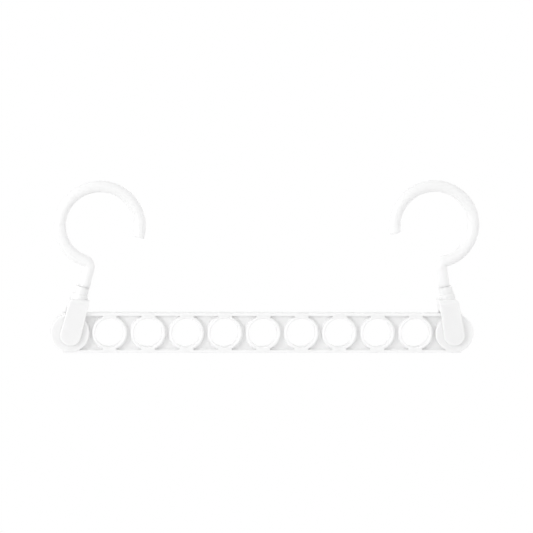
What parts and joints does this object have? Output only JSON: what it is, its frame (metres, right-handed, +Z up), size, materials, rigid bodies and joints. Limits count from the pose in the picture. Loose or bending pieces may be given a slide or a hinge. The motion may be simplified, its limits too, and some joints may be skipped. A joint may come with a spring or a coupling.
{
  "type": "hanging drying rack",
  "caption": "White moulded bar with a row of round holes for clothes hangers, carried at each end by a swinging fork with a swivelling open hook.",
  "frame": {"origin": "the point on the rail that the object hangs from, at the mean height of the two hooks' inner tops, midway between the two fork pivots and at mid-depth", "axes": "+X along the bar to the picture's right, +Y away from the viewer through the holes, +Z up"},
  "size_m": [0.3623, 0.0188, 0.1459],
  "materials": {
    "bar_plastic": "satin injection-moulded white polypropylene",
    "fork_plastic": "satin injection-moulded white polypropylene",
    "hook_plastic": "glossy injection-moulded white polypropylene"
  },
  "bodies": {
    "bar": {"bar": "bar_plastic"},
    "left_fork": {"left_fork": "fork_plastic"},
    "right_fork": {"right_fork": "fork_plastic"},
    "left_hook": {"left_hook": "hook_plastic"},
    "right_hook": {"right_hook": "hook_plastic"}
  },
  "joints": [
    {"name": "left_fork_swing", "type": "hinge", "parent": "bar", "child": "left_fork", "pos_m": [-0.1621, 0, -0.11879], "axis": [0, -1, 0], "range_deg": [-1.6, 210.4]},
    {"name": "right_fork_swing", "type": "hinge", "parent": "bar", "child": "right_fork", "pos_m": [0.1621, 0, -0.11879], "axis": [0, 1, 0], "range_deg": [-5.9, 206.1]},
    {"name": "left_hook_swivel", "type": "hinge", "parent": "left_fork", "child": "left_hook", "pos_m": [-0.15224, 0, -0.0804], "axis": [0.2487, 0, 0.9686], "continuous": true},
    {"name": "right_hook_swivel", "type": "hinge", "parent": "right_fork", "child": "right_hook", "pos_m": [0.15515, 0, -0.07977], "axis": [-0.1754, 0, 0.9845], "continuous": true}
  ]
}
